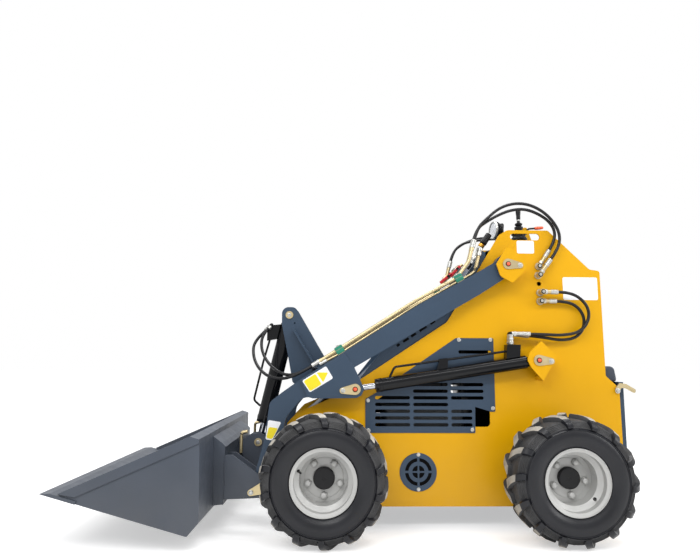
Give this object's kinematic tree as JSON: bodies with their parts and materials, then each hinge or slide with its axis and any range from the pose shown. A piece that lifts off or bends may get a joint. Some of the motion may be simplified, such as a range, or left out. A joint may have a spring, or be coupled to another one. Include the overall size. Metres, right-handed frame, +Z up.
{
  "type": "skid steer loader, stand-on compact size",
  "caption": "Compact stand-on skid steer loader: lugged tyres, lift arms with hydraulic cylinders and hoses, low bucket and a folding rear platform.",
  "frame": {"origin": "on the ground under the middle of the machine's length and width", "axes": "+X to the rear, the bucket points to -X; +Y to the machine's right as its operator faces the bucket; +Z up"},
  "size_m": [2.7986, 1.21, 1.6644],
  "materials": {
    "yellow_paint": "semi-gloss",
    "dark_paint": "semi-gloss",
    "bucket_paint": "satin",
    "black_paint": "gloss",
    "engine_iron": "satin",
    "zinc": "zinc plated",
    "chrome": "polished",
    "pad_rubber": "matte",
    "black_plastic": "matte",
    "hose_rubber": "satin",
    "rim_silver": "satin",
    "tyre_rubber": "matte"
  },
  "bodies": {
    "body": {"side_plate_left": "yellow_paint", "side_plate_right": "yellow_paint", "arm_brackets_left": "yellow_paint", "arm_brackets_right": "yellow_paint", "grilles_left": "dark_paint", "grilles_right": "dark_paint", "belly_pan": "dark_paint", "drive_motors": "black_paint", "engine": "engine_iron", "hood": "dark_paint", "rear_cover": "dark_paint", "body_pins": "zinc", "thigh_pad": "pad_rubber", "controls": "black_plastic", "work_lamp": "black_plastic", "instrument_pod": "yellow_paint", "platform_latch": "zinc", "plate_fittings": "zinc", "arm_hose_outer_left": "hose_rubber", "arm_hose_outer_right": "hose_rubber", "arm_hose_inner_left": "hose_rubber", "arm_hose_inner_right": "hose_rubber", "ram_hose_upper_left": "hose_rubber", "ram_hose_upper_right": "hose_rubber", "ram_hose_lower_left": "hose_rubber", "ram_hose_lower_right": "hose_rubber"},
    "lift_arms": {"lift_arm_left": "dark_paint", "lift_arm_right": "dark_paint", "cross_tube": "dark_paint", "arm_pins": "zinc", "arm_pipes": "zinc", "tilt_hose_near": "hose_rubber", "tilt_hose_far": "hose_rubber"},
    "bucket_group": {"bucket": "bucket_paint", "cutting_edge": "bucket_paint", "bucket_mount": "bucket_paint", "attach_plate": "bucket_paint", "attach_pins": "zinc", "latch_levers": "black_paint"},
    "tilt_barrel_body": {"tilt_barrel": "black_paint"},
    "tilt_rod_body": {"tilt_rod": "chrome"},
    "platform_body": {"platform": "dark_paint"},
    "lift_barrel_left_body": {"lift_barrel_left": "black_paint"},
    "lift_rod_left_body": {"lift_rod_left": "chrome"},
    "lift_barrel_right_body": {"lift_barrel_right": "black_paint"},
    "lift_rod_right_body": {"lift_rod_right": "chrome"},
    "wheel_front_left": {"rim_front_left": "rim_silver", "tyre_front_left": "tyre_rubber"},
    "wheel_front_right": {"rim_front_right": "rim_silver", "tyre_front_right": "tyre_rubber"},
    "wheel_rear_left": {"rim_rear_left": "rim_silver", "tyre_rear_left": "tyre_rubber"},
    "wheel_rear_right": {"rim_rear_right": "rim_silver", "tyre_rear_right": "tyre_rubber"}
  },
  "joints": [
    {"name": "lift", "type": "hinge", "parent": "body", "child": "lift_arms", "pos_m": [0.74, 0, 1.317], "axis": [0, 1, 0], "range_deg": [0, 68], "deforming": ["arm_hose_outer_left", "arm_hose_outer_right", "arm_hose_inner_left", "arm_hose_inner_right"]},
    {"name": "tilt", "type": "hinge", "parent": "lift_arms", "child": "bucket_group", "pos_m": [-0.477, 0, 0.217], "axis": [0, -1, 0], "range_deg": [0, 110]},
    {"name": "lift_swing_left", "type": "hinge", "parent": "body", "child": "lift_barrel_left_body", "pos_m": [0.88, -0.304, 0.83], "axis": [0, 1, 0], "range_deg": [0, 52.71], "deforming": ["ram_hose_upper_left", "ram_hose_lower_left"]},
    {"name": "lift_slide_left", "type": "slide", "parent": "lift_barrel_left_body", "child": "lift_rod_left_body", "axis": [-0.9874, 0, -0.1581], "range_m": [0, 0.478]},
    {"name": "lift_swing_right", "type": "hinge", "parent": "body", "child": "lift_barrel_right_body", "pos_m": [0.88, 0.304, 0.83], "axis": [0, 1, 0], "range_deg": [0, 52.71], "deforming": ["ram_hose_upper_right", "ram_hose_lower_right"]},
    {"name": "lift_slide_right", "type": "slide", "parent": "lift_barrel_right_body", "child": "lift_rod_right_body", "axis": [-0.9874, 0, -0.1581], "range_m": [0, 0.478]},
    {"name": "tilt_swing", "type": "hinge", "parent": "lift_arms", "child": "tilt_barrel_body", "pos_m": [-0.397, 0, 1.073], "axis": [0, 1, 0], "range_deg": [-0.78, 0], "deforming": ["tilt_hose_near", "tilt_hose_far"]},
    {"name": "tilt_slide", "type": "slide", "parent": "tilt_barrel_body", "child": "tilt_rod_body", "axis": [-0.2222, 0, -0.975], "range_m": [0, 0.3011]},
    {"name": "platform_fold", "type": "hinge", "parent": "body", "child": "platform_body", "pos_m": [1.35, 0, 0.19], "axis": [0, 1, 0], "range_deg": [0, 90]},
    {"name": "wheel_front_left_turn", "type": "hinge", "parent": "body", "child": "wheel_front_left", "pos_m": [-0.182, -0.489, 0.292], "axis": [0, 1, 0], "continuous": true},
    {"name": "wheel_front_right_turn", "type": "hinge", "parent": "body", "child": "wheel_front_right", "pos_m": [-0.182, 0.489, 0.292], "axis": [0, 1, 0], "continuous": true},
    {"name": "wheel_rear_left_turn", "type": "hinge", "parent": "body", "child": "wheel_rear_left", "pos_m": [0.946, -0.489, 0.292], "axis": [0, 1, 0], "continuous": true},
    {"name": "wheel_rear_right_turn", "type": "hinge", "parent": "body", "child": "wheel_rear_right", "pos_m": [0.946, 0.489, 0.292], "axis": [0, 1, 0], "continuous": true}
  ],
  "couplings": [
    {"joint": "lift_swing_left", "follows": "lift", "ratio": 0.77505},
    {"joint": "lift_slide_left", "follows": "lift", "m_per_rad": 0.40272},
    {"joint": "lift_swing_right", "follows": "lift", "ratio": 0.77505},
    {"joint": "lift_slide_right", "follows": "lift", "m_per_rad": 0.40272},
    {"joint": "tilt_swing", "follows": "tilt", "ratio": -0.00704},
    {"joint": "tilt_slide", "follows": "tilt", "m_per_rad": 0.15681}
  ]
}
